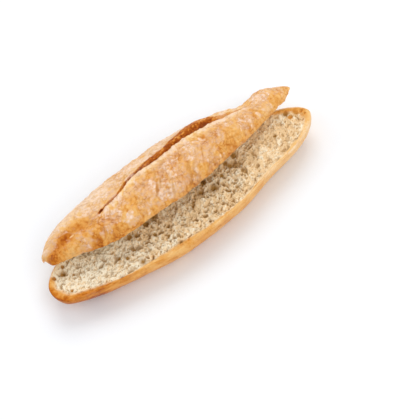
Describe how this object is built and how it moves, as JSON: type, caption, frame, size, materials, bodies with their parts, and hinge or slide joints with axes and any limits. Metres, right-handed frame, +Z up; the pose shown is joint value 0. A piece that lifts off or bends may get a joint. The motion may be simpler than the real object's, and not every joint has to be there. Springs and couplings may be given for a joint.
{
  "type": "half baguette",
  "caption": "Half baguette cut open along its length, its slashed top half leaning back on the crumb of the bottom half.",
  "frame": {"origin": "middle of the whole bread's box, on the surface that the bottom half rests on", "axes": "+X along the bread towards its right end in the picture, +Y towards the side that the top half leans back over, +Z up"},
  "size_m": [0.2671, 0.0974, 0.0533],
  "materials": {
    "crust": "baked golden crust, matt, blistered and dusted with flour, darker brown in the slash",
    "crumb": "cream to tan open crumb with uneven holes, fully matt"
  },
  "bodies": {
    "root": {"bottom_half": "crust", "top_half": "crust"}
  },
  "joints": []
}
